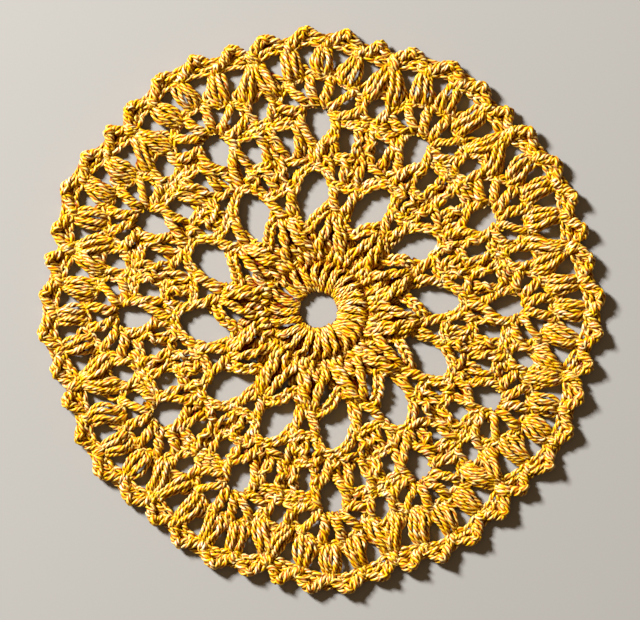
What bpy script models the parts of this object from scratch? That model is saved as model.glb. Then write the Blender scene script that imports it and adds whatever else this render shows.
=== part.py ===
"""A round lace doily, crocheted in one piece of cotton from the ring at its centre to its picot edge.

It lies flat on Z = 0 with the middle of its outline over the origin. The open places of the lace are
cut through the sheet, and the puff stitches and the crossed-over spokes stand up from its top.
Angles are in degrees clockwise from +Y as seen from above, measured from the middle of a repeat.
"""

from collections import namedtuple
from math import cos, pi, radians, sin

import bmesh
import bpy
from mathutils import Matrix, Vector

MM = 0.001
REPEATS = 12
STEP_DEG = 360 / REPEATS

RIM_RADIUS = 75.2 * MM          # to the tips of the longest picots
RING_RADIUS = 4.4 * MM          # the hole in the middle
RING_DRIFT = (-0.5 * MM, 0.35 * MM)     # it sits a little off the middle of the rounds
SHEET_THICKNESS = 2.2 * MM
BAND_RADIUS = 31 * MM           # the round of oval gaps, where the inner turns hold
FAN_RADIUS = 49.3 * MM          # the round of fans, where the outer turns hold

PUFF_HEIGHT = 1.0 * MM          # above the sheet
PUFF_INNER_RADIUS = 60.6 * MM
PUFF_OUTER_RADIUS = 69.6 * MM
PUFF_SIDES = 8
PUFF_CROWN = 0.5                # top of a puff as a share of its foot
SPOKE_HEIGHT = 0.8 * MM
SPOKE_WIDTH = 2.2 * MM
SPOKE_FOOT_RADIUS = 14.2 * MM
SPOKE_TOP_RADIUS = 25.2 * MM
SPOKE_TOP_DEG = 10.1            # where the two spokes of a repeat meet
SPOKE_SPREAD_DEG = 13.5         # from there to each foot
SPOKE_CROWN = 0.55
BITE = 0.5 * MM                 # how far a raised stitch reaches down into the sheet

YARN_COLOUR = (0.78, 0.42, 0.03, 1.0)
YARN_ROUGHNESS = 0.55

# Handwork is never even: how far round each repeat has turned, and its reach, at the band of ovals,
# at the fan and at the rim.
Repeat = namedtuple("Repeat", "band_turn band_reach fan_turn fan_reach rim_turn rim_reach")
UNEVEN = (
    Repeat(0.3, 1.002, -0.3, 1.017, -0.1, 1.005),
    Repeat(30.9, 0.979, 30.9, 1.004, 30.7, 1.002),
    Repeat(59.8, 0.988, 60.8, 0.990, 60.4, 1.007),
    Repeat(88.4, 0.996, 88.5, 1.002, 89.4, 1.007),
    Repeat(117.6, 1.003, 117.6, 0.998, 118.5, 0.994),
    Repeat(145.2, 1.014, 148.2, 0.970, 148.5, 0.989),
    Repeat(177.5, 0.989, 177.2, 1.004, 176.8, 1.005),
    Repeat(206.2, 1.003, 206.1, 0.987, 205.8, 0.980),
    Repeat(234.8, 1.011, 236.5, 0.981, 236.4, 0.982),
    Repeat(268.1, 1.018, 268.9, 1.004, 268.1, 1.000),
    Repeat(299.3, 1.014, 298.0, 1.017, 298.0, 1.018),
    Repeat(329.7, 0.988, 327.6, 1.024, 327.5, 1.015),
)

# The open places of one repeat. Lean turns the top clockwise; taper narrows the inner end, or widens it
# where it is negative.
Gap = namedtuple("Gap", "name turn radius_mm width_mm length_mm lean taper corners")
GAPS = (
    Gap("oval", -4.2, 30.2, 8.0, 13.6, 9, 0.22, 12),
    Gap("band", 10.6, 30.5, 2.7, 3.8, 0, -0.2, 6),
    Gap("left_arch", -10.8, 37.8, 2.2, 3.8, 5, 0.0, 6),
    Gap("right_arch", 6.6, 36.9, 2.4, 4.0, 2, 0.0, 6),
    Gap("left_side", -10.0, 45.3, 3.4, 5.6, 2, 0.0, 8),
    Gap("right_side", 8.8, 44.8, 4.0, 6.2, 5, 0.1, 8),
    Gap("fan", 0.1, 49.1, 5.9, 7.8, 0, 0.32, 10),
    Gap("ray_1", -7.8, 55.2, 2.6, 4.2, -40, 0.1, 6),
    Gap("ray_2", -4.1, 58.0, 2.2, 4.2, -18, 0.2, 6),
    Gap("ray_3", 0.2, 58.4, 2.0, 5.2, -2, 0.2, 6),
    Gap("ray_4", 4.4, 57.4, 2.2, 5.4, 30, 0.2, 6),
    Gap("ray_5", 8.2, 54.0, 2.6, 5.0, 56, 0.2, 6),
    Gap("between_fans", 15.5, 55.3, 3.6, 7.2, 18, 0.0, 8),
    Gap("rim_1", -9.2, 65.1, 3.2, 5.6, -12, 0.4, 6),
    Gap("rim_2", -2.2, 67.1, 3.0, 5.2, 6, 0.4, 6),
    Gap("rim_3", 4.1, 66.7, 3.2, 5.6, 10, 0.4, 6),
    Gap("rim_4", 11.7, 64.7, 3.2, 6.0, 25, 0.4, 6),
)

# The puff stitches of one fan, each a bundle of strands that leans with its ray.
Puff = namedtuple("Puff", "turn width_mm lean")
PUFFS = (
    Puff(-12.4, 3.6, -16),
    Puff(-5.9, 5.0, -9),
    Puff(0.9, 5.0, 2),
    Puff(7.7, 5.0, 14),
    Puff(13.9, 3.6, 14),
)

# The picots of one fan, and the low place in the edge that follows each.
Picot = namedtuple("Picot", "turn tip_mm valley_mm")
PICOTS = (
    Picot(-9.6, 73.8, 71.8),
    Picot(-1.9, 75.2, 72.9),
    Picot(5.7, 74.9, 71.4),
    Picot(13.0, 73.8, 70.6),
)
# Across a picot, from the low place before it to the one after: (share of the way, share of the height).
PICOT_SHAPE = ((0.0, 0.0), (0.22, 0.25), (0.33, 0.75), (0.44, 1.0), (0.56, 1.0), (0.67, 0.75), (0.78, 0.25))


def clear_scene():
    for obj in list(bpy.data.objects):
        bpy.data.objects.remove(obj, do_unlink=True)
    for collection in list(bpy.data.collections):
        bpy.data.collections.remove(collection)


def between(low, high, share):
    return low + (high - low) * share


def eased(value, start, end):
    """0 before start, 1 after end, with a soft change between them."""
    share = min(max((value - start) / (end - start), 0.0), 1.0)
    return share * share * (3 - 2 * share)


def uneven(turn, column):
    """A column of UNEVEN at this turn round the doily, read between its rows."""
    place = turn / STEP_DEG
    row = int(place // 1)
    low = getattr(UNEVEN[row % REPEATS], column)
    high = getattr(UNEVEN[(row + 1) % REPEATS], column)
    if column.endswith("turn"):
        low += 360 * (row // REPEATS)
        high += 360 * ((row + 1) // REPEATS)
    return between(low, high, place - row)


def on_doily(turn, radius):
    """The place on the uneven doily of a point of the even pattern."""
    to_fan = eased(radius, BAND_RADIUS, FAN_RADIUS)
    to_rim = eased(radius, FAN_RADIUS, RIM_RADIUS)
    real_turn = between(uneven(turn, "band_turn"), uneven(turn, "fan_turn"), to_fan)
    real_turn = radians(between(real_turn, uneven(turn, "rim_turn"), to_rim))
    reach = between(uneven(turn, "band_reach"), uneven(turn, "fan_reach"), to_fan)
    reach = between(reach, uneven(turn, "rim_reach"), to_rim)
    real_radius = radius * between(1.0, reach, eased(radius, RING_RADIUS, BAND_RADIUS))
    place = Vector((real_radius * sin(real_turn), real_radius * cos(real_turn)))
    return place + Vector(RING_DRIFT) * (1 - eased(radius, RING_RADIUS, BAND_RADIUS))


def rim_points():
    """The scalloped outline, picot by picot."""
    points = []
    for repeat in range(REPEATS):
        for number, picot in enumerate(PICOTS):
            before = PICOTS[number - 1]
            after = PICOTS[(number + 1) % len(PICOTS)]
            start = (before.turn + picot.turn) / 2 - (STEP_DEG / 2 if number == 0 else 0)
            end = (after.turn + picot.turn) / 2 + (STEP_DEG / 2 if number == len(PICOTS) - 1 else 0)
            for along, up in PICOT_SHAPE:
                floor = between(before.valley_mm, picot.valley_mm, along)
                radius = between(floor, picot.tip_mm, up) * MM
                points.append(on_doily(repeat * STEP_DEG + between(start, end, along), radius))
    return points


def gap_points(gap, repeat):
    """An egg-shaped opening, leaning as the stitches round it do."""
    points = []
    lean = Matrix.Rotation(-radians(gap.lean), 2)
    for corner in range(gap.corners):
        round_it = 2 * pi * corner / gap.corners
        up = cos(round_it) * gap.length_mm / 2
        across = sin(round_it) * gap.width_mm / 2 * (1 + gap.taper * cos(round_it))
        across, up = lean @ Vector((across, up))
        radius = (gap.radius_mm + up) * MM
        turn = gap.turn + across * MM / radius * 180 / pi
        points.append(on_doily(repeat * STEP_DEG + turn, radius))
    return points


def ring_points():
    corners = 2 * REPEATS
    return [on_doily(360 * corner / corners, RING_RADIUS) for corner in range(corners)]


def outline_middle(points):
    """The middle of the outline's box, which is set over the origin."""
    xs = [point.x for point in points]
    ys = [point.y for point in points]
    return Vector(((min(xs) + max(xs)) / 2, (min(ys) + max(ys)) / 2))


def add_loop(curve, points, middle):
    spline = curve.splines.new("POLY")
    spline.points.add(len(points) - 1)
    for target, point in zip(spline.points, points):
        target.co = (point.x - middle.x, point.y - middle.y, 0, 1)
    spline.use_cyclic_u = True


def make_sheet(collection, middle):
    """The flat sheet with its gaps, as a filled curve that is then made a mesh."""
    curve = bpy.data.curves.new("doily_outline", "CURVE")
    curve.dimensions = "2D"
    curve.fill_mode = "BOTH"
    curve.extrude = SHEET_THICKNESS / 2
    add_loop(curve, rim_points(), middle)
    add_loop(curve, ring_points(), middle)
    for repeat in range(REPEATS):
        for gap in GAPS:
            add_loop(curve, gap_points(gap, repeat), middle)
    drawn = bpy.data.objects.new("doily_outline", curve)
    drawn.location.z = SHEET_THICKNESS / 2
    collection.objects.link(drawn)
    bpy.context.view_layer.update()
    evaluated = drawn.evaluated_get(bpy.context.evaluated_depsgraph_get())
    mesh = bpy.data.meshes.new_from_object(evaluated)
    shape = bmesh.new()
    shape.from_mesh(mesh)
    bmesh.ops.transform(shape, matrix=drawn.matrix_world, verts=shape.verts)
    bmesh.ops.remove_doubles(shape, verts=shape.verts, dist=0.001 * MM)
    bmesh.ops.recalc_face_normals(shape, faces=shape.faces)
    shape.to_mesh(mesh)
    shape.free()
    mesh.name = "doily"
    sheet = bpy.data.objects.new("doily", mesh)
    collection.objects.link(sheet)
    bpy.data.objects.remove(drawn, do_unlink=True)
    bpy.data.curves.remove(curve)
    return sheet


def add_ridge(shape, foot, top, width, height, sides, crown):
    """A low raised stitch from foot to top, narrower above than at the sheet."""
    along = top - foot
    place = Matrix.Translation((*(foot + top) / 2, SHEET_THICKNESS + (height - BITE) / 2))
    turned = Matrix.Rotation(-Vector((0, 1)).angle_signed(along), 4, "Z")
    scale = Matrix.Diagonal((width / 2, along.length / 2, height + BITE, 1))
    bmesh.ops.create_cone(
        shape, cap_ends=True, segments=sides, radius1=1.0, radius2=crown, depth=1.0,
        matrix=place @ turned @ scale @ Matrix.Rotation(pi / sides, 4, "Z"),
    )


def make_raised_stitches(collection, middle):
    """The puffs and the spokes as one mesh, which is joined to the sheet."""
    shape = bmesh.new()
    puff_middle = (PUFF_INNER_RADIUS + PUFF_OUTER_RADIUS) / 2
    half_length = (PUFF_OUTER_RADIUS - PUFF_INNER_RADIUS) / 2
    for repeat in range(REPEATS):
        first = repeat * STEP_DEG
        for puff in PUFFS:
            swing = half_length * sin(radians(puff.lean)) / puff_middle * 180 / pi
            foot = on_doily(first + puff.turn - swing, PUFF_INNER_RADIUS) - middle
            top = on_doily(first + puff.turn + swing, PUFF_OUTER_RADIUS) - middle
            add_ridge(shape, foot, top, puff.width_mm * MM, PUFF_HEIGHT, PUFF_SIDES, PUFF_CROWN)
        for side in (-1, 1):
            foot_turn = first + SPOKE_TOP_DEG + side * SPOKE_SPREAD_DEG
            foot = on_doily(foot_turn, SPOKE_FOOT_RADIUS) - middle
            top = on_doily(first + SPOKE_TOP_DEG, SPOKE_TOP_RADIUS) - middle
            add_ridge(shape, foot, top, SPOKE_WIDTH, SPOKE_HEIGHT, 6, SPOKE_CROWN)
    mesh = bpy.data.meshes.new("raised_stitches")
    shape.to_mesh(mesh)
    shape.free()
    raised = bpy.data.objects.new("raised_stitches", mesh)
    raised.display_type = "WIRE"
    raised.hide_render = True
    collection.objects.link(raised)
    return raised


def yarn_material():
    material = bpy.data.materials.new("golden_cotton")
    material.use_nodes = True
    shader = material.node_tree.nodes["Principled BSDF"]
    shader.inputs["Base Color"].default_value = YARN_COLOUR
    shader.inputs["Roughness"].default_value = YARN_ROUGHNESS
    shader.inputs["Metallic"].default_value = 0.0
    return material


def main():
    clear_scene()
    doily_parts = bpy.data.collections.new("lace_doily")
    helpers = bpy.data.collections.new("helpers")
    bpy.context.scene.collection.children.link(doily_parts)
    bpy.context.scene.collection.children.link(helpers)
    middle = outline_middle(rim_points())
    sheet = make_sheet(doily_parts, middle)
    raised = make_raised_stitches(helpers, middle)
    join = sheet.modifiers.new("raised_stitches", "BOOLEAN")
    join.operation = "UNION"
    join.object = raised
    join.use_self = True
    sheet.data.materials.append(yarn_material())


main()
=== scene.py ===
from math import ceil, cos, pi, radians, sin
from random import Random

import bmesh
import bpy
import numpy as np
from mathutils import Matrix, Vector, noise


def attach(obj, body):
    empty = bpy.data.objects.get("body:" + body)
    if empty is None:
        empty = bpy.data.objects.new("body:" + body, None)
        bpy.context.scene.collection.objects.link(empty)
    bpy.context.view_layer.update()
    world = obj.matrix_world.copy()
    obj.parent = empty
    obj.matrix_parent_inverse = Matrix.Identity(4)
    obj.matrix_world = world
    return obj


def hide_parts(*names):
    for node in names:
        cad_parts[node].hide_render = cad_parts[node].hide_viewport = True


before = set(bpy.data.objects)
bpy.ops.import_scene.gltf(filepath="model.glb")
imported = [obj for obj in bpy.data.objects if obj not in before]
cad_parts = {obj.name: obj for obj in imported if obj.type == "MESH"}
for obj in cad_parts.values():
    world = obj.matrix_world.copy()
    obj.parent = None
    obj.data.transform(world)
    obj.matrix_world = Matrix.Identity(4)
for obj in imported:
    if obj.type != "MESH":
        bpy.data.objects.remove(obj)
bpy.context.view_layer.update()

# A round lace doily in golden crochet cotton, laid flat. The yarn is worked stitch by stitch, round by
# round, over one repeat of the pattern, and the repeat is then laid out twelve times on the uneven round
# that real handwork has. Turns are in degrees clockwise from +Y, measured from the axis of a fan; reaches
# and heights are in millimetres.

mm = 0.001
repeats = 12
stepTurn = 360 / repeats
up = np.array((0.0, 0.0, 1.0))

yarn = {
    "crown": 0.68,          # from the middle of the yarn to the crown of a ply
    "valley": 0.34,         # and to the groove between two plies
    "crownTurn": 25,        # degrees from the middle of a crown to its shoulders
    "plies": 3,
    "pitch": 5.0,           # one full turn of a ply, more or less by a share of looseTwist
    "looseTwist": 0.16,
    "lumpy": 0.42,          # how much thicker and thinner the yarn gets along its way
    "lumpGrain": 1.0,       # how close together its lumps are
    "kinks": 1.5,           # radians by which its twist runs ahead and lags along its way
    "kinkGrain": 0.45,
    "step": 0.53,           # between the rings of the mesh
    "plainStep": 0.7,       # the same, where the yarn is mostly hidden
    "lowest": 0.84,         # the middle of a strand that lies on the table
    "under": 0.62,          # one that runs under others, which addStrand lifts to the lowest
    "wander": 0.5,          # how far the whole work strays from the chart
    "wanderGrain": 0.22,
    "stray": 0.18,          # how far one stitch does
    "sunk": 1.6,            # so far under the topmost yarn the painted shade is at its darkest
    "seed": 7,
}
noiseLayers = {"wander": 40.0, "lumps": 9.0, "kinks": 21.0}     # heights at which each reads the noise

# How far round each repeat has turned, and its reach, at the band of ovals, at the fan and at the rim.
unevenColumns = ("bandTurn", "bandReach", "fanTurn", "fanReach", "rimTurn", "rimReach")
uneven = (
    (0.3, 1.002, -0.3, 1.017, -0.1, 1.005),
    (30.9, 0.979, 30.9, 1.004, 30.7, 1.002),
    (59.8, 0.988, 60.8, 0.990, 60.4, 1.007),
    (88.4, 0.996, 88.5, 1.002, 89.4, 1.007),
    (117.6, 1.003, 117.6, 0.998, 118.5, 0.994),
    (145.2, 1.014, 148.2, 0.970, 148.5, 0.989),
    (177.5, 0.989, 177.2, 1.004, 176.8, 1.005),
    (206.2, 1.003, 206.1, 0.987, 205.8, 0.980),
    (234.8, 1.011, 236.5, 0.981, 236.4, 0.982),
    (268.1, 1.018, 268.9, 1.004, 268.1, 1.000),
    (299.3, 1.014, 298.0, 1.017, 298.0, 1.018),
    (329.7, 0.988, 327.6, 1.024, 327.5, 1.015),
)
lay = {
    "ring": 4.4,            # reach of the hole in the middle
    "band": 31.0,
    "fan": 49.3,
    "rim": 75.2,
    "drift": (-0.5, 0.35),  # the ring sits a little off the middle of the rounds
    "middle": (0.29, 0.32), # of the outline's box, which is over the origin
    "cell": 0.4,            # of the grid on which the topmost yarn is noted
    "cells": 400,
}


def clamped(value):
    return min(max(value, 0.0), 1.0)


def mixed(low, high, share):
    return low + (high - low) * share


def eased(value, start, end):
    share = clamped((value - start) / (end - start))
    return share * share * (3 - 2 * share)


def unevenAt(turn, column):
    place = turn / stepTurn
    row = int(place // 1)
    number = unevenColumns.index(column)
    low, high = uneven[row % repeats][number], uneven[(row + 1) % repeats][number]
    if column.endswith("Turn"):
        low += 360 * (row // repeats)
        high += 360 * ((row + 1) // repeats)
    return mixed(low, high, place - row)


def onDoily(turn, reach, height):
    # where a point of the even chart lies on the real, uneven doily
    toFan = eased(reach, lay["band"], lay["fan"])
    toRim = eased(reach, lay["fan"], lay["rim"])
    realTurn = mixed(unevenAt(turn, "bandTurn"), unevenAt(turn, "fanTurn"), toFan)
    realTurn = radians(mixed(realTurn, unevenAt(turn, "rimTurn"), toRim))
    grown = mixed(unevenAt(turn, "bandReach"), unevenAt(turn, "fanReach"), toFan)
    grown = mixed(grown, unevenAt(turn, "rimReach"), toRim)
    fromRing = eased(reach, lay["ring"], lay["band"])
    real = reach * mixed(1.0, grown, fromRing)
    x = real * sin(realTurn) + lay["drift"][0] * (1 - fromRing) - lay["middle"][0]
    y = real * cos(realTurn) + lay["drift"][1] * (1 - fromRing) - lay["middle"][1]
    spot = Vector((x, y, noiseLayers["wander"])) * yarn["wanderGrain"]
    stray = noise.noise_vector(spot) * yarn["wander"]
    return np.array((x + stray.x, y + stray.y, height))


def alongsOf(points):
    # how far along their run each of the points is
    steps = np.linalg.norm(np.diff(points, axis=0), axis=1)
    return np.concatenate(([0], np.cumsum(steps)))


def smoothed(points, spacing):
    # an even run of points along a soft curve through the given ones
    points = np.asarray(points, float)
    count = len(points)
    fine = spacing * 0.4    # the curve is drawn this finely before it is cut into even steps
    dense = []
    for number in range(count - 1):
        before, start = points[max(number - 1, 0)], points[number]
        end, after = points[number + 1], points[min(number + 2, count - 1)]
        steps = max(2, ceil(np.linalg.norm(end - start) / fine))
        t = (np.arange(steps) / steps)[:, None]
        dense.append(0.5 * (2 * start + (end - before) * t
                            + (2 * before - 5 * start + 4 * end - after) * t ** 2
                            + (3 * start - before - 3 * end + after) * t ** 3))
    dense.append(points[-1:])
    dense = np.concatenate(dense)
    lengths = alongsOf(dense)
    wanted = np.linspace(0, lengths[-1], max(3, round(lengths[-1] / spacing) + 1))
    return np.stack([np.interp(wanted, lengths, dense[:, axis]) for axis in range(3)], axis=1)


strands = {}        # the strands of each piece, as runs of points
dice = Random(yarn["seed"])
noise.seed_set(yarn["seed"])


def strayed(most):
    return dice.uniform(-most, most)


stitch = {
    "lineStep": 0.3,        # between the points of a stitch's middle line
    "windLength": 8.5,      # in which its strands go once round one another
    "windStep": 0.9,        # between the places that a strand is led through
    "besides": 1.5,         # above 1, its strands stay side by side longer before they cross
    "loose": 0.1,           # how far a strand strays from its winding
    "fullFrom": 0.3,        # share of its way where it has spread, and where it starts to close
    "fullTo": 0.7,
    "dipLength": 1.3,       # at either end, where its strands go under
    "wrapPoints": 7,
}


class Line:
    # the middle line of a stitch, and places beside and above it
    def __init__(self, points, first):
        laid = [onDoily(turn + first, reach, height) for turn, reach, height in points]
        for spot in laid[1:-1]:
            spot += [strayed(yarn["stray"]) for _ in range(3)]
        self.points = smoothed(laid, stitch["lineStep"])
        self.alongs = alongsOf(self.points)
        self.length = self.alongs[-1]
        ahead = np.gradient(self.points, axis=0)
        side = np.cross(ahead, up)
        self.sides = side / np.linalg.norm(side, axis=1)[:, None]

    def at(self, along, across, above):
        along, across, above = (np.asarray(value, float) for value in (along, across, above))
        spot, side = (np.stack([np.interp(along, self.alongs, column) for column in rows.T], axis=1)
                      for rows in (self.points, self.sides))
        ahead = np.cross(up, side)
        past = along - np.clip(along, 0, self.length)
        return spot + side * across[:, None] + up * above[:, None] + ahead * past[:, None]


def addStrand(piece, points, spacing=None, thin=1.0):
    run = smoothed(points, spacing or yarn["step"])
    run[:, 2] = np.maximum(run[:, 2], yarn["lowest"] * thin)
    strands.setdefault(piece, []).append((run, thin))


def rope(piece, points, first, spread=0.6, foot=None, head=None, turns=None, start=None, count=2,
         flat=0.75, dip=(0.9, 0.9), thin=1.0):
    # strands laid round one another, spread more or less at the foot and the head, where they dip under
    line = Line(points, first)
    turns = line.length / stitch["windLength"] if turns is None else turns
    foot = spread if foot is None else foot
    head = spread if head is None else head
    start = dice.uniform(0, 2 * pi) if start is None else radians(start)
    share = np.linspace(0, 1, max(5, round(line.length / stitch["windStep"])))
    along = share * line.length
    shares = (0, stitch["fullFrom"], stitch["fullTo"], 1)
    reach = np.interp(share, shares, (foot, spread, spread, head))
    fromFoot, fromHead = along / stitch["dipLength"], (line.length - along) / stitch["dipLength"]
    drop = dip[0] * np.clip(1 - fromFoot, 0, 1) + dip[1] * np.clip(1 - fromHead, 0, 1)
    for strand in range(count):
        swing = start + 2 * pi * (strand / count + turns * share)
        loose = np.array([strayed(stitch["loose"]) for _ in share])
        across = np.clip(stitch["besides"] * np.cos(swing), -1, 1) * reach + loose
        above = np.sin(swing) * reach * flat - drop
        addStrand(piece, line.at(along, across, above), thin=thin)
    return line


def wrap(piece, line, fromShare, toShare, wide=1.0, high=0.95, tuck=0.35):
    # the yarn that was thrown round a post, crossing it aslant and tucked under at its sides
    share = np.linspace(0, 1, stitch["wrapPoints"])
    along = mixed(fromShare, toShare, share) * line.length
    across = -np.cos(pi * share) * wide
    above = np.sin(pi * share) * high - tuck * (1 - np.sin(pi * share))
    addStrand(piece, line.at(along, across, above))


link = {
    # one side of a link: along the chain in links, across it in half widths, and height
    "shape": ((0.02, 0.12, -0.45), (0.28, 0.5, 0.05), (0.62, 0.98, 0.3), (1.02, 0.95, 0.12),
              (1.3, 0.5, -0.25), (1.42, 0.0, -0.4)),
    "overlap": 0.42,        # with the next link
    "lean": 0.08,
    "coreDrop": 0.8,        # how far under a chain runs the yarn that it is worked over
    "coreStep": 2.0,
}


def chain(piece, points, first, links, half=0.72, high=1.1, thin=1.0, core=False):
    line = Line(points, first)
    pitch = line.length / (links + link["overlap"])
    back = [(along, -across, height) for along, across, height in link["shape"][-2::-1]]
    alongs, sides, heights = np.array((*link["shape"], *back)).T
    for number in range(links):
        lean = strayed(link["lean"])
        spots = line.at((number + alongs) * pitch, sides * half + lean, heights * high)
        addStrand(piece, spots, thin=thin)
    if core:
        along = np.linspace(0, line.length, max(3, round(line.length / link["coreStep"])))
        addStrand(piece, line.at(along, 0 * along, 0 * along - link["coreDrop"]), spacing=yarn["plainStep"])


def collar(piece, reach, step):
    # a strand right round, under the others
    spots = [onDoily(turn, reach, yarn["under"]) for turn in range(0, 361, step)]
    addStrand(piece, spots, spacing=yarn["plainStep"])


def everyRepeat():
    for repeat in range(repeats):
        yield repeat * stepTurn


# In the charts of the rounds, a point is a turn, a reach and a height. Lows are the strands that fill the
# ground between the stitches and under them.

# The ring: two dozen trebles worked into it, each of two strands and the yarn thrown round them.
ringRound = {
    "piece": "ring_round",
    "trebles": 24,
    "crowded": 9.0,         # degrees by which the trebles of one side are pushed together
    "inner": 4.95,
    "outer": 12.7,
    "swirl": 5.0,           # degrees that a treble curves on its way out
    "strayTurn": 0.7,       # at most, of a treble
    "strayHeight": 0.2,
    "straySwirl": 1.6,
    "thin": 0.88,
    # turned from a treble: the yarn thrown round it, and the strand between it and the next
    "thrown": ((1.0, 10.4, 1.9), (2.4, 11.1, 2.6), (5.2, 11.9, 2.5), (7.6, 12.6, 1.6), (8.4, 13.2, 0.8)),
    "between": ((6.5, 7.6, yarn["under"]), (8.5, 10.2, yarn["under"]), (11.5, 13.2, yarn["under"])),
    "collars": (5.7, 6.5),
    "collarStep": 15,
    "tops": (13.0, 0.7),    # reach and height of the chain over the heads
    "topsTurn": 3.0,
    "topsStep": 10,
}


def makeRing():
    piece = ringRound["piece"]
    inner, outer, thin = (ringRound[name] for name in ("inner", "outer", "thin"))
    for number in range(ringRound["trebles"]):
        even = number * 360 / ringRound["trebles"]
        turn = even + ringRound["crowded"] * cos(radians(even)) + strayed(ringRound["strayTurn"])
        high, end = strayed(ringRound["strayHeight"]), ringRound["swirl"] + strayed(ringRound["straySwirl"])
        points = ((-1.5, inner, 0.5), (-1.4, inner + 0.5, 1.4), (-0.6, 7.2, 2.0 + high),
                  (0.6, 9.6, 2.2 + high), (end - 2.6, outer - 1.0, 1.8), (end, outer, 0.8))
        rope(piece, points, turn, spread=0.37, foot=0.2, head=0.52, turns=0.12, start=-24, flat=0.5,
             dip=(0.2, 0.2), thin=thin)
        addStrand(piece, Line(ringRound["thrown"], turn).points, thin=thin)
        addStrand(piece, Line(ringRound["between"], turn).points, spacing=yarn["plainStep"])
    for reach in ringRound["collars"]:
        collar(piece, reach, ringRound["collarStep"])
    tops = [(turn, *ringRound["tops"]) for turn in range(0, 361, ringRound["topsStep"])]
    chain(piece, tops, ringRound["topsTurn"], ringRound["trebles"], half=0.5, high=0.3, thin=0.9)


# The spokes stand up over a lower column, and meet in threes; a chain arc runs from one meeting to the next.
spokeRound = {
    "piece": "spoke_round",
    "legs": (
        ((-4.2, 14.6, 0.9), (-2.6, 16.5, 2.0), (-0.4, 18.1, 2.7), (2.0, 19.7, 2.9), (4.0, 21.7, 2.9),
         (5.8, 24.0, 2.6), (8.6, 26.6, 1.6)),
        ((15.2, 15.0, 0.9), (14.9, 16.8, 2.0), (14.1, 18.8, 2.7), (12.9, 20.9, 2.9), (11.7, 23.2, 2.7),
         (10.6, 26.4, 1.6)),
        ((22.0, 14.0, 0.9), (20.2, 16.0, 1.9), (18.2, 18.2, 2.4), (16.5, 20.4, 2.6), (14.9, 22.8, 2.3),
         (13.2, 25.8, 1.4)),
    ),
    "lowLegs": (
        ((7.4, 14.8, 0.9), (7.0, 16.8, 1.6), (5.4, 18.8, 1.7), (4.2, 20.2, 1.4)),
        ((8.8, 16.4, 0.7), (9.6, 19.0, 0.7), (9.6, 22.6, 0.8)),
        ((-7.4, 15.4, 0.8), (-6.8, 17.4, 0.9), (-5.6, 19.4, 0.9), (-5.4, 21.2, 0.9)),
        ((-12.6, 15.4, 0.8), (-12.4, 16.8, 0.8), (-11.6, 18.4, 0.8), (-9.4, 20.2, 0.8)),
        ((2.8, 14.8, 0.8), (2.4, 16.4, 0.9), (2.2, 18.4, 0.9)),
        ((6.6, 21.6, 0.9), (8.0, 23.2, 0.9), (9.4, 24.8, 1.0)),
    ),
    "fingers": (-12.0, -7.6, -1.6, 10.6, 17.6),     # turns of the loops that reach over the ring's edge
    "finger": ((0, 13.2, 0.7), (0, 13.9, 1.7), (1, 15.2, 1.9), (1, 16.6, 0.9)),     # share of its lean first
    "fingerLean": 1.0,      # at most
    "collars": (14.2, 15.6),
    "collarStep": 10,
    "arcLinks": 6,
    "arc": ((-15.6, 24.3, 1.4), (-12.6, 22.9, 1.3), (-9.4, 22.0, 1.3), (-6.6, 22.8, 1.5), (-3.6, 24.6, 1.8),
            (-0.6, 26.0, 1.9), (2.4, 26.8, 1.7), (5.4, 27.2, 1.3)),
}


def makeSpokes():
    piece = spokeRound["piece"]
    for first in everyRepeat():
        for points in spokeRound["legs"]:
            rope(piece, points, first, spread=0.62, foot=0.6, head=0.45, thin=1.06)
        for points in spokeRound["lowLegs"]:
            rope(piece, points, first, spread=0.56, head=0.45)
        for turn in spokeRound["fingers"]:
            lean = strayed(spokeRound["fingerLean"])
            points = [(turn + share * lean, reach, height) for share, reach, height in spokeRound["finger"]]
            addStrand(piece, Line(points, first).points, thin=1.1)
        chain(piece, spokeRound["arc"], first, spokeRound["arcLinks"], half=0.95, high=1.2, thin=1.1,
              core=True)
    for reach in spokeRound["collars"]:
        collar(piece, reach, spokeRound["collarStep"])


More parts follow.
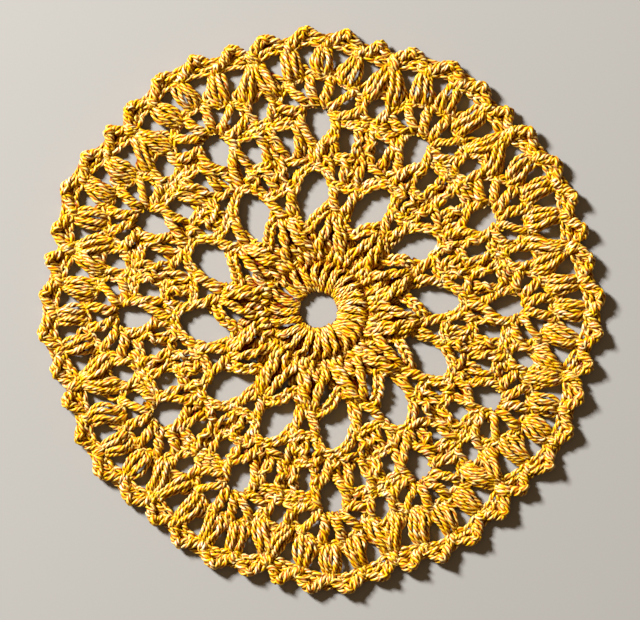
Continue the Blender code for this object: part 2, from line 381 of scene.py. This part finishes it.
# The band: a V of two posts where the spokes meet, an arch over each oval, and short posts to the ground.
bandRound = {
    "piece": "band_round",
    "vees": (
        ((8.8, 26.2, 1.3), (7.1, 28.4, 1.5), (5.7, 30.4, 1.6), (5.5, 32.4, 1.5), (5.3, 34.2, 1.2)),
        ((11.4, 26.2, 1.3), (13.4, 28.2, 1.5), (15.2, 30.2, 1.6), (16.2, 32.4, 1.5), (16.6, 34.6, 1.2)),
    ),
    "lows": (
        ((14.8, 24.6, 1.0), (16.3, 26.0, 0.9), (16.7, 27.8, 0.9), (16.7, 30.0, 0.9)),
        ((16.6, 34.2, 1.0), (18.0, 35.5, 1.1), (19.8, 36.6, 1.1), (21.8, 37.6, 1.0)),
        ((1.2, 28.0, 0.9), (3.4, 28.9, 1.0), (5.2, 30.0, 1.0)),
        ((15.0, 25.2, 0.9), (16.4, 25.4, 0.9), (17.6, 25.0, 0.9)),
        ((4.8, 38.6, 0.9), (6.6, 39.2, 0.9), (8.4, 38.8, 0.9)),
    ),
    "posts": (
        ((4.0, 34.0, 1.2), (3.9, 36.2, 1.5), (4.1, 38.6, 1.6), (4.6, 41.2, 1.2)),
        ((9.1, 33.8, 1.2), (9.5, 36.2, 1.6), (9.3, 38.8, 1.6), (8.8, 41.4, 1.2)),
        ((12.2, 33.8, 0.9), (12.0, 37.0, 1.0), (12.0, 40.6, 1.0)),
        ((14.6, 34.4, 1.2), (15.2, 36.8, 1.6), (15.6, 39.0, 1.7), (17.2, 41.0, 1.3)),
    ),
    "wrapped": 0.4,         # share of the posts that show the yarn thrown round them
    "wrap": (0.35, 0.62),   # and from where to where along them
    "bar": ((3.6, 33.5, 1.2), (7.0, 33.4, 1.4), (10.2, 33.0, 1.4), (12.8, 33.3, 1.5), (15.2, 34.1, 1.4),
            (18.0, 34.8, 1.1)),
    "arch": ((-13.4, 30.9, 1.2), (-11.3, 33.8, 1.4), (-8.8, 35.9, 1.5), (-6.0, 37.3, 1.5), (-3.2, 38.0, 1.5),
             (-0.4, 37.9, 1.5), (2.2, 36.8, 1.4), (4.0, 34.8, 1.3), (4.8, 32.6, 1.1)),
    "barLinks": 5,
    "archLinks": 7,
}


def makeBand():
    piece = bandRound["piece"]
    for first in everyRepeat():
        for points in bandRound["vees"]:
            rope(piece, points, first, spread=0.72, foot=0.9, count=3)
        for points in bandRound["posts"]:
            line = rope(piece, points, first, spread=0.68, foot=0.9, head=0.9)
            if dice.random() < bandRound["wrapped"]:
                wrap(piece, line, *bandRound["wrap"])
        for points in bandRound["lows"]:
            addStrand(piece, Line(points, first).points)
        chain(piece, bandRound["bar"], first, bandRound["barLinks"], core=True)
        chain(piece, bandRound["arch"], first, bandRound["archLinks"])


# The ground of a fan: short legs to a knot under its hole, arms round the hole, and posts at the sides.
groundRound = {
    "piece": "ground_round",
    "arms": (
        ((3.3, 52.5, 1.1), (4.1, 50.5, 1.5), (4.5, 48.4, 1.8), (3.9, 46.8, 1.9), (2.4, 45.3, 1.9),
         (0.8, 43.8, 1.9), (-0.2, 42.1, 1.8), (-1.1, 40.2, 1.6), (-2.2, 38.2, 1.1)),
        ((-4.4, 52.4, 1.1), (-5.1, 50.2, 1.5), (-4.9, 47.9, 1.7), (-3.9, 45.8, 1.6), (-2.3, 44.2, 1.3),
         (-0.9, 43.1, 0.9)),
    ),
    "posts": (
        ((-3.2, 44.4, 0.9), (-2.4, 42.6, 1.0), (-3.2, 40.4, 1.1), (-4.8, 38.6, 1.0)),
        ((-7.1, 49.8, 1.2), (-6.9, 47.4, 1.7), (-6.9, 45.4, 1.8), (-7.6, 43.2, 1.7), (-8.8, 40.8, 1.2)),
        ((6.0, 49.6, 1.2), (5.2, 47.6, 1.7), (4.7, 45.6, 1.8), (4.9, 43.6, 1.7), (4.9, 41.1, 1.2)),
        ((-13.0, 40.2, 1.1), (-10.6, 40.1, 1.5), (-8.4, 39.5, 1.7), (-6.6, 38.9, 1.6), (-5.0, 37.9, 1.1)),
        ((5.4, 41.2, 1.1), (3.7, 39.8, 1.5), (2.0, 38.9, 1.6), (0.2, 38.4, 1.1)),
        ((11.4, 50.0, 1.2), (11.7, 47.6, 1.6), (12.4, 45.2, 1.7), (12.1, 43.2, 1.6), (11.5, 40.6, 1.2)),
        ((14.7, 50.6, 0.9), (14.8, 47.6, 1.0), (14.9, 44.4, 0.9), (14.3, 40.0, 0.9)),
        ((16.2, 50.8, 1.2), (16.2, 48.2, 1.7), (16.5, 45.6, 1.8), (17.2, 43.2, 1.6), (18.2, 40.4, 1.2)),
    ),
    "lows": (
        ((-11.4, 50.4, 0.7), (-8.6, 50.6, 0.7), (-5.6, 51.2, 0.7)),
        ((-6.0, 46.4, 0.9), (-5.2, 45.2, 0.9), (-4.4, 44.2, 0.9)),
        ((-6.3, 45.0, 1.0), (-5.9, 43.2, 1.0), (-6.2, 41.0, 0.9), (-5.4, 39.4, 0.9)),
        ((2.4, 44.2, 0.8), (1.6, 42.4, 0.8), (1.0, 40.4, 0.8)),
    ),
    "bars": (
        ((5.0, 40.7, 1.1), (7.4, 40.7, 1.4), (9.8, 40.7, 1.4), (12.6, 41.1, 1.1)),
        ((5.4, 49.5, 1.2), (8.6, 48.9, 1.4), (11.4, 48.8, 1.4), (14.6, 49.4, 1.1)),
        ((4.8, 51.0, 1.0), (8.2, 50.6, 1.1), (11.4, 50.8, 1.2), (14.6, 51.2, 1.1)),
        ((-15.4, 50.0, 1.2), (-12.8, 49.1, 1.4), (-10.0, 48.8, 1.4), (-7.0, 49.1, 1.1)),
        ((-15.6, 51.2, 1.1), (-12.8, 51.2, 1.3), (-10.2, 51.6, 1.1)),
    ),
    "links": (3, 4, 4, 3, 2),   # of each bar
    "wrapped": 0.5,
    "wrap": (0.4, 0.68),
}


def makeGround():
    piece = groundRound["piece"]
    for first in everyRepeat():
        for points in groundRound["arms"]:
            rope(piece, points, first, count=3)
        for points in groundRound["posts"]:
            line = rope(piece, points, first, spread=0.65)
            if dice.random() < groundRound["wrapped"]:
                wrap(piece, line, *groundRound["wrap"])
        for points, links in zip(groundRound["bars"], groundRound["links"]):
            chain(piece, points, first, links)
        for points in groundRound["lows"]:
            addStrand(piece, Line(points, first).points, spacing=yarn["plainStep"])


# The rays of a fan, worked over its hole, and the chain that joins their heads.
rayRound = {
    "piece": "ray_round",
    "rays": (
        ((-3.7, 52.4, 1.0), (-5.8, 52.1, 1.6), (-8.4, 52.8, 1.7), (-11.4, 54.7, 1.2)),
        ((-2.5, 53.2, 1.0), (-4.4, 55.0, 1.8), (-6.2, 56.8, 1.8), (-7.8, 59.5, 1.2)),
        ((-0.7, 53.2, 1.0), (-1.4, 55.6, 1.8), (-2.2, 58.2, 1.8), (-2.5, 61.6, 1.2)),
        ((0.9, 53.2, 1.0), (1.6, 55.6, 1.8), (2.1, 58.0, 1.8), (2.8, 61.6, 1.2)),
        ((2.3, 52.9, 1.0), (4.4, 54.5, 1.8), (6.6, 56.4, 1.8), (9.0, 58.8, 1.2)),
        ((3.3, 51.5, 1.0), (5.8, 51.3, 1.6), (8.8, 52.0, 1.7), (11.8, 54.2, 1.2)),
    ),
    "spreads": (0.74, 0.62, 0.78, 0.78, 0.42, 0.62),
    "joins": (
        ((12.6, 57.8, 1.3), (12.1, 55.6, 1.6), (11.8, 53.2, 1.6), (13.6, 50.9, 1.2)),
        ((18.2, 57.4, 1.3), (18.1, 55.2, 1.6), (17.4, 52.8, 1.6), (15.8, 50.9, 1.2)),
        ((15.2, 64.4, 1.0), (15.4, 61.6, 1.2), (15.5, 58.8, 1.0)),
        ((12.4, 57.0, 1.0), (13.8, 58.3, 1.2), (15.6, 58.9, 1.2), (17.2, 58.3, 1.2), (18.4, 56.8, 1.0)),
    ),
    "lows": (
        ((-8.2, 59.8, 0.9), (-8.9, 61.6, 0.9), (-11.0, 63.2, 0.8)),
        ((-2.4, 62.4, 0.9), (-2.9, 63.8, 0.9), (-4.8, 65.0, 0.8)),
        ((3.4, 62.2, 0.9), (3.9, 63.6, 0.9), (5.8, 64.8, 0.8)),
        ((9.4, 58.8, 0.9), (9.8, 60.2, 0.9), (12.0, 61.6, 0.8)),
        ((3.8, 52.5, 0.9), (4.8, 52.9, 0.9), (5.7, 53.4, 0.9)),
        ((9.7, 54.2, 0.9), (10.1, 55.0, 0.9), (10.2, 56.0, 0.9)),
    ),
    "scallop": ((-11.6, 54.8, 1.0), (-9.4, 57.0, 0.9), (-7.4, 59.2, 1.0), (-4.8, 60.7, 0.9),
                (-2.4, 61.6, 1.0), (0.0, 61.3, 0.9), (2.8, 61.6, 1.0), (5.2, 60.4, 0.9), (7.6, 58.8, 1.0),
                (9.6, 57.2, 0.9), (11.8, 55.6, 1.0)),
    "scallopLinks": 11,
}


def makeRays():
    piece = rayRound["piece"]
    for first in everyRepeat():
        for points, spread in zip(rayRound["rays"], rayRound["spreads"]):
            rope(piece, points, first, spread=spread, foot=0.95, count=3, dip=(0.8, 0.7))
        for points in rayRound["joins"]:
            rope(piece, points, first)
        for points in rayRound["lows"]:
            addStrand(piece, Line(points, first).points, spacing=yarn["plainStep"])
        chain(piece, rayRound["scallop"], first, rayRound["scallopLinks"], half=0.7, high=0.7)


# The puffs, five to a fan, worked between the heads of the rays.
puffRound = {
    "piece": "puff_round",
    "paths": (
        ((-10.6, 56.0, 1.3), (-11.1, 58.6, 1.5), (-12.0, 61.4, 1.5), (-13.2, 64.4, 1.5), (-13.2, 67.3, 1.3)),
        ((-5.4, 59.8, 1.3), (-5.8, 62.8, 1.5), (-6.1, 65.8, 1.5), (-6.3, 69.2, 1.3)),
        ((0.3, 60.8, 1.3), (0.4, 64.0, 1.5), (0.6, 66.8, 1.5), (0.7, 70.0, 1.3)),
        ((6.1, 58.4, 1.3), (6.9, 61.8, 1.5), (7.6, 64.8, 1.5), (7.9, 68.6, 1.3)),
        ((11.2, 56.4, 1.3), (12.6, 59.2, 1.5), (14.0, 62.0, 1.5), (15.2, 64.8, 1.5), (15.8, 67.4, 1.3)),
    ),
    "widths": (5.1, 5.9, 6.1, 5.9, 4.7),
    # turn and reach of the end of the stitch that closes each puff
    "closings": ((-14.3, 69.9), (-6.7, 71.0), (1.4, 71.9), (9.0, 70.4), (15.5, 69.9)),
    "strands": 5,
    "strandPoints": 15,
    "thin": 0.98,
    "inset": 0.7,           # from the side of a puff to the middle of its outermost strand
    # share of its way, and how full it is there or how high it stands
    "full": ((0, 0.55), (0.1, 0.82), (0.25, 1.0), (0.42, 1.04), (0.62, 0.98), (0.78, 0.86), (0.92, 0.7),
             (1, 0.5)),
    "rise": ((0, -0.8), (0.1, 0.2), (0.25, 0.7), (0.5, 1.1), (0.75, 0.88), (0.9, 0.2), (1, -0.6)),
    "sides": 0.45,          # how much lower its sides are
    "twist": 0.5,           # at most, in half widths
    "sway": (0.2, 0.42),    # of a strand from side to side, least and most
    "waves": (0.7, 1.2),
    "lift": (0.2, 0.55),    # by which every other strand stands over its neighbours
    "uneven": 0.08,         # share of its way by which a strand may start late or end early
    "inner": 55.0,          # what the round takes up, laid flat
    "outer": 71.0,
}


def puff(piece, points, first, width):
    # a bundle of drawn-up loops: gathered between two rays at the foot, full above it, drawn in at the tip
    line = Line(points, first)
    share = np.linspace(0, 1, puffRound["strandPoints"])
    full, rise = (np.interp(share, *zip(*puffRound[name])) for name in ("full", "rise"))
    twist = strayed(puffRound["twist"])
    outermost = width / 2 - puffRound["inset"]
    for strand in range(puffRound["strands"]):
        place = strand / (puffRound["strands"] - 1) * 2 - 1
        sway, waves = dice.uniform(*puffRound["sway"]), dice.uniform(*puffRound["waves"])
        swing = sway * np.sin(2 * pi * (share * waves + dice.uniform(0, 1)))
        lift = dice.uniform(*puffRound["lift"]) * np.sin(pi * share) * (1 if strand % 2 else -1)
        across = (place + twist * (share - 0.5)) * outermost * full + swing
        above = rise * (1 - puffRound["sides"] * place * place) + lift
        late, early = dice.uniform(0, puffRound["uneven"]), dice.uniform(0, puffRound["uneven"])
        along = mixed(late, 1 - early, share) * line.length
        addStrand(piece, line.at(along, across, above), thin=puffRound["thin"])


def makePuffs():
    piece = puffRound["piece"]
    for first in everyRepeat():
        for number, points in enumerate(puffRound["paths"]):
            puff(piece, points, first, puffRound["widths"][number])
            (headTurn, head, _), (turn, reach) = points[-1], puffRound["closings"][number]
            over = ((headTurn, head - 1.2, 1.7), (mixed(headTurn, turn, 0.4), head + 0.4, 2.2),
                    (mixed(headTurn, turn, 0.8), reach - 0.9, 2.2), (turn, reach, 1.7))
            rope(piece, over, first, spread=0.46, head=0.6, turns=0.3, start=-20, flat=0.5, dip=(0.5, 0.4))


# The edging: a chain over the heads of the puffs, and a cord that throws up a picot between them.
edgeRound = {
    "piece": "edge_round",
    "picots": ((-10.3, 74.0), (-2.3, 75.2), (5.4, 74.8), (12.9, 73.8)),
    "valleys": ((-14.6, 70.9), (-6.8, 71.4), (1.7, 72.4), (9.3, 70.9), (15.4, 70.9)),
    "inset": 1.6,           # from the outline to the middle of the cord
    "lowHalf": 0.7,         # degrees for which the cord stays low at either side of a valley
    "runOn": 0.8,           # and for which it runs on past it
    # share of the way out to a picot or back from it, share of the reach, and height
    "rise": ((0.25, 0.3, 1.7), (0.65, 0.75, 1.9)),
    "fall": ((0.35, 0.25, 1.9), (0.75, 0.7, 1.7)),
    # the loop in a picot: turn to either side of its tip, reach short of it, and height
    "loop": ((1.5, 3.6, 1.0), (1.4, 2.2, 1.5), (0.4, 1.0, 1.1)),
    "wrap": (0.44, 0.57),
    # the chain over the heads of the puffs
    "tops": ((-15.4, 66.7), (-13.0, 67.6), (-9.9, 69.0), (-6.4, 69.3), (-2.8, 70.6), (0.6, 70.1),
             (4.0, 70.2), (8.0, 68.7), (11.3, 68.1), (14.8, 66.7)),
    "topHeight": 1.2,
    "topLinks": 13,
    "backings": (1.6, 2.6), # so far outside the tops runs the yarn that the picots stand on
    "backingHeight": 0.7,
}


def makeEdge():
    piece = edgeRound["piece"]
    inset, runOn, valleys = edgeRound["inset"], edgeRound["runOn"], edgeRound["valleys"]
    for first in everyRepeat():
        tops = [(turn, reach, edgeRound["topHeight"]) for turn, reach in edgeRound["tops"]]
        chain(piece, tops, first, edgeRound["topLinks"], half=0.8)
        for (turn, tip), valley, nextValley in zip(edgeRound["picots"], valleys, valleys[1:]):
            (fromTurn, low), (toTurn, nextLow) = valley, nextValley
            start, end = fromTurn + edgeRound["lowHalf"], toTurn - edgeRound["lowHalf"]
            rise = [(mixed(start, turn, along), mixed(low, tip, share), height)
                    for along, share, height in edgeRound["rise"]]
            fall = [(mixed(turn, end, along), mixed(tip, nextLow, share), height)
                    for along, share, height in edgeRound["fall"]]
            outline = [(fromTurn - runOn, low, 1.2), (start, low, 1.5), *rise, (turn, tip, 1.9), *fall,
                       (end, nextLow, 1.5), (toTurn + runOn, nextLow, 1.2)]
            points = [(place, reach - inset, height) for place, reach, height in outline]
            line = rope(piece, points, first, spread=0.72, turns=1.9, count=3)
            for side in (-1, 1):
                loop = [(turn + side * aside, tip - inset - short, height)
                        for aside, short, height in edgeRound["loop"]]
                addStrand(piece, Line(loop, first).points)
            wrap(piece, line, *edgeRound["wrap"], wide=0.95, high=1.2)
        for past in edgeRound["backings"]:
            backing = [(turn, reach + past, edgeRound["backingHeight"]) for turn, reach in edgeRound["tops"]]
            addStrand(piece, Line(backing, first).points, spacing=yarn["plainStep"])


def sectionCorners():
    # turn and radius of each corner of the yarn's section: rounded plies with a groove between each two
    each = 360 / yarn["plies"]
    for ply in range(yarn["plies"]):
        yield ply * each, yarn["valley"]
        yield ply * each + each / 2 - yarn["crownTurn"], yarn["crown"]
        yield ply * each + each / 2 + yarn["crownTurn"], yarn["crown"]


def makeProfile():
    curve = bpy.data.curves.new("yarnSection", "CURVE")
    curve.dimensions = "2D"
    spline = curve.splines.new("POLY")
    corners = list(sectionCorners())
    spline.points.add(len(corners) - 1)
    for point, (turn, radius) in zip(spline.points, corners):
        point.co = (radius * mm * cos(radians(turn)), radius * mm * sin(radians(turn)), 0, 1)
    spline.use_cyclic_u = True
    profile = bpy.data.objects.new("yarnSection", curve)
    bpy.context.scene.collection.objects.link(profile)
    profile.hide_render = True
    return profile


def coverAt(runs):
    # the height of the topmost yarn at each place, on a grid: spread by two cells each way, then softened
    cells = np.zeros((lay["cells"], lay["cells"]))
    for run, _ in runs:
        np.maximum.at(cells, cellOf(run), run[:, 2] + yarn["crown"])
    for axis in (0, 1):
        cells = np.max([np.roll(cells, shift, axis) for shift in (-2, -1, 0, 1, 2)], axis=0)
    for axis in (0, 1):
        cells = np.mean([np.roll(cells, shift, axis) for shift in (-1, 0, 1)], axis=0)
    return cells


def cellOf(spots):
    places = spots[:, :2] / lay["cell"] + lay["cells"] / 2
    return tuple(np.clip(places, 0, lay["cells"] - 1).astype(int).T)


def threadsOf(alongs):
    # where each corner is round its strand and along it. A curve's mesh has the caps of its strands before
    # the rest, those of the last strand foremost.
    rings = [end for run in reversed(alongs) for end in (run[-1], run[0])]
    rings = np.concatenate([rings] + alongs)
    turns = np.radians([turn for turn, _ in sectionCorners()])
    around = np.tile(np.stack((np.cos(turns), np.sin(turns)), axis=1), (len(rings), 1))
    return np.float32(np.column_stack((around, np.repeat(rings, len(turns))))).ravel()


def closeEnds(mesh):
    body = bmesh.new()
    body.from_mesh(mesh)
    bmesh.ops.remove_doubles(body, verts=body.verts, dist=0.0001 * mm)
    body.to_mesh(mesh)
    body.free()


def noiseAlong(run, layer, grain):
    return np.array([noise.noise(Vector((*spot[:2], noiseLayers[layer])) * grain) for spot in run])


def addSpline(curve, run, thin, alongs):
    # a strand, twisted more or less evenly, and thicker and thinner along its way
    spline = curve.splines.new("POLY")
    spline.points.add(len(run) - 1)
    places = np.ones((len(run), 4), np.float32)
    places[:, :3] = run * mm
    pitch = yarn["pitch"] * (1 + strayed(1) * yarn["looseTwist"])
    tilts = -2 * pi * alongs / pitch + dice.uniform(0, 2 * pi)
    tilts += noiseAlong(run, "kinks", yarn["kinkGrain"]) * yarn["kinks"]
    lumps = noiseAlong(run, "lumps", yarn["lumpGrain"]) * yarn["lumpy"]
    spline.points.foreach_set("co", places.ravel())
    spline.points.foreach_set("tilt", tilts.astype(np.float32))
    spline.points.foreach_set("radius", np.float32(thin * (1 + lumps)))


def meshOf(curve):
    drawn = bpy.data.objects.new(curve.name, curve)
    bpy.context.scene.collection.objects.link(drawn)
    bpy.context.view_layer.update()
    mesh = bpy.data.meshes.new_from_object(drawn.evaluated_get(bpy.context.evaluated_depsgraph_get()))
    bpy.data.objects.remove(drawn)
    bpy.data.curves.remove(curve)
    return mesh


def noteOn(mesh, name, kind, values):
    field = "vector" if kind == "FLOAT_VECTOR" else "value"
    mesh.attributes.new(name, kind, "POINT").data.foreach_set(field, np.float32(values))


def noteYarn(mesh, alongs, cover):
    # what the cotton's look goes by: groove or crown, for the painted shade in the grooves and the painted
    # highlight on the crowns; depth under the topmost yarn, for the painted shade there; and place on the
    # thread
    corners = np.empty(len(mesh.vertices) * 3, np.float32)
    mesh.vertices.foreach_get("co", corners)
    corners = corners.reshape(-1, 3) / mm
    depth = cover[cellOf(corners)] - corners[:, 2]
    noteOn(mesh, "lobe", "FLOAT", np.resize((0, 1, 1), len(corners)))
    noteOn(mesh, "sunk", "FLOAT", np.clip(depth / yarn["sunk"], 0, 1))
    noteOn(mesh, "thread", "FLOAT_VECTOR", threadsOf(alongs))


def makePiece(piece, runs, profile, cover, material):
    curve = bpy.data.curves.new(piece + "Drawn", "CURVE")
    curve.dimensions = "3D"
    curve.bevel_mode = "OBJECT"
    curve.bevel_object = profile
    curve.use_fill_caps = True
    curve.twist_mode = "MINIMUM"
    alongs = [alongsOf(run) for run, _ in runs]
    for (run, thin), along in zip(runs, alongs):
        addSpline(curve, run, thin, along)
    mesh = meshOf(curve)
    mesh.name = piece
    noteYarn(mesh, alongs, cover)
    closeEnds(mesh)
    mesh.shade_smooth()
    mesh.materials.clear()
    mesh.materials.append(material)
    made = bpy.data.objects.new(piece, mesh)
    bpy.context.scene.collection.objects.link(made)
    length = sum(along[-1] for along in alongs) * mm
    mesh.calc_loop_triangles()
    print(f"{piece}: {len(runs)} strands, {length:.2f} m of yarn, {len(mesh.loop_triangles)} triangles")
    return made


class Field:
    # a shader socket that can stand in an expression
    def __init__(self, maker, socket):
        self.maker, self.socket = maker, socket

    def maths(self, operation, first, second):
        return self.maker.node("ShaderNodeMath", {"operation": operation}, {0: first, 1: second})

    def __add__(self, other):
        return self.maths("ADD", self, other)

    def __mul__(self, other):
        return self.maths("MULTIPLY", self, other)

    def __sub__(self, other):
        return self.maths("SUBTRACT", self, other)

    def __rsub__(self, other):
        return self.maths("SUBTRACT", other, self)

    __radd__ = __add__
    __rmul__ = __mul__


class NodeMaker:
    def __init__(self, name):
        self.material = bpy.data.materials.new(name)
        self.material.use_nodes = True
        self.tree = self.material.node_tree
        self.shader = self.tree.nodes["Principled BSDF"]

    def node(self, kind, settings, values, output=0):
        made = self.tree.nodes.new(kind)
        for name, value in settings.items():
            setattr(made, name, value)
        for name, value in values.items():
            self.feed(made, name, value)
        return Field(self, made.outputs[output])

    def feed(self, node, name, value):
        if isinstance(value, Field):
            self.tree.links.new(value.socket, node.inputs[name])
        else:
            node.inputs[name].default_value = value

    def noise(self, spot, grain, detail):
        return self.node("ShaderNodeTexNoise", {}, {"Vector": spot, "Scale": grain, "Detail": detail})

    def blend(self, factor, first, second):
        return self.node("ShaderNodeMix", {"data_type": "RGBA"}, {0: factor, 6: first, 7: second}, 2)


cottonLook = {
    "paintedShadeUnder": (0.16, 0.012, 0.0002, 1.0),     # painted shade, darkest far under the topmost yarn
    "paintedGrooveShade": (0.47, 0.068, 0.0003, 1.0),   # painted shade in the groove between two plies
    "body": (0.83, 0.515, 0.0012, 1.0),
    "paintedHighlight": (0.96, 0.98, 0.74, 1.0),        # painted highlight on the crowns of the exposed plies
    "cloudGrain": 460.0,
    "fibres": (2.4, 2.4, 0.5),              # how fine the fibres are round the yarn, and along it
    "fibreGrain": 2.0,
    "detail": 2.0,
    "highlightByCloud": 2.8,                     # how much the painted highlight goes with each noise
    "highlightByFibre": 3.4,
    "highlightThreshold": 3.15,                         # what they have to add up to before the painted highlight shows
    "paintedShadeRate": 1.1,                            # how soon sunk yarn gets the full painted shade
    "bumpStrength": 0.6,
    "bumpDepth": 0.00006,
    "rough": (0.34, 0.56),                  # least and most, as the fibres go
    "coat": 0.5,
    "coatRough": 0.34,
    "coatIor": 1.7,
    "specular": 0.08,
}


def makeCotton():
    look = cottonLook
    maker = NodeMaker("golden_cotton")
    lobe = maker.node("ShaderNodeAttribute", {"attribute_name": "lobe"}, {}, "Fac")
    sunk = maker.node("ShaderNodeAttribute", {"attribute_name": "sunk"}, {}, "Fac")
    thread = maker.node("ShaderNodeAttribute", {"attribute_name": "thread"}, {}, "Vector")
    spot = maker.node("ShaderNodeTexCoord", {}, {}, "Object")
    cloud = maker.noise(spot, look["cloudGrain"], look["detail"])
    drawn = maker.node("ShaderNodeVectorMath", {"operation": "MULTIPLY"}, {0: thread, 1: look["fibres"]})
    fibre = maker.noise(drawn, look["fibreGrain"], look["detail"])
    # painted highlight: the crowns of plies that no yarn covers are paled, in patches set by noise
    highlightShare = (cloud * look["highlightByCloud"] + fibre * look["highlightByFibre"] - look["highlightThreshold"]) * (1 - sunk)
    crown = maker.blend(highlightShare, look["body"], look["paintedHighlight"])
    # painted shade: the grooves between the plies are darkened towards their middle
    plies = maker.blend(lobe * lobe, look["paintedGrooveShade"], crown)
    # painted shade: yarn that lies under other yarn is darkened, the more the deeper it lies
    colour = maker.blend(sunk * sunk * look["paintedShadeRate"], plies, look["paintedShadeUnder"])
    bumps = {"Height": fibre, "Strength": look["bumpStrength"], "Distance": look["bumpDepth"]}
    smooth, dull = look["rough"]
    maker.feed(maker.shader, "Base Color", colour)
    maker.feed(maker.shader, "Roughness", fibre * (dull - smooth) + smooth)
    maker.feed(maker.shader, "Normal", maker.node("ShaderNodeBump", {}, bumps))
    maker.feed(maker.shader, "Coat Weight", lobe * (1 - sunk) * look["coat"])
    maker.feed(maker.shader, "Coat Roughness", look["coatRough"])
    maker.feed(maker.shader, "Coat IOR", look["coatIor"])
    maker.feed(maker.shader, "Specular IOR Level", look["specular"])
    return maker.material


floorLook = {
    "size": 6.0,
    "colour": (0.32, 0.31, 0.29, 1.0),
    "rough": 0.8,
}


def makeFloor():
    bpy.ops.mesh.primitive_plane_add(size=floorLook["size"], location=(0, 0, 0))
    floor = bpy.context.object
    floor.name = "floor"
    maker = NodeMaker("pale_floor")
    maker.feed(maker.shader, "Base Color", floorLook["colour"])
    maker.feed(maker.shader, "Roughness", floorLook["rough"])
    floor.data.materials.append(maker.material)


studio = {
    "cameraHeight": 0.9,
    "cameraX": -0.0004,
    "cameraNear": 0.05,
    "frameWidth": 0.1693,       # what the photo takes in, from left to right
    "keyFrom": (-1.13, 0.92, 0.90),
    "keySize": 0.29,
    "keyPower": 89.5,
    "skyColour": (1.0, 0.68, 0.38, 1.0),
    "skyPower": 0.17,
}


def makeStudio():
    scene = bpy.context.scene
    camera = bpy.data.objects.new("camera", bpy.data.cameras.new("camera"))
    camera.location = (studio["cameraX"], 0, studio["cameraHeight"])
    camera.data.lens = camera.data.sensor_width * studio["cameraHeight"] / studio["frameWidth"]
    camera.data.clip_start = studio["cameraNear"]
    scene.collection.objects.link(camera)
    scene.camera = camera
    key = bpy.data.objects.new("key", bpy.data.lights.new("key", "AREA"))
    key.data.size = studio["keySize"]
    key.data.energy = studio["keyPower"]
    key.location = studio["keyFrom"]
    key.rotation_euler = (-Vector(studio["keyFrom"])).to_track_quat("-Z", "Y").to_euler()
    scene.collection.objects.link(key)
    world = bpy.data.worlds.new("studio")
    world.use_nodes = True
    sky = world.node_tree.nodes["Background"]
    sky.inputs["Color"].default_value = studio["skyColour"]
    sky.inputs["Strength"].default_value = studio["skyPower"]
    scene.world = world
    scene.view_settings.view_transform = "Standard"


for makeRound in (makeRing, makeSpokes, makeBand, makeGround, makeRays, makePuffs, makeEdge):
    makeRound()
print(f"{len(strands)} rounds laid out")

cotton = makeCotton()
profile = makeProfile()
cover = coverAt([laid for runs in strands.values() for laid in runs])
pieces = {}
for piece, runs in strands.items():
    pieces[piece] = makePiece(piece, runs, profile, cover, cotton)
bpy.data.objects.remove(profile)

for made in pieces.values():
    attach(made, "root")
    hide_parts("doily")

makeFloor()
makeStudio()
print("floor, camera and light set up")
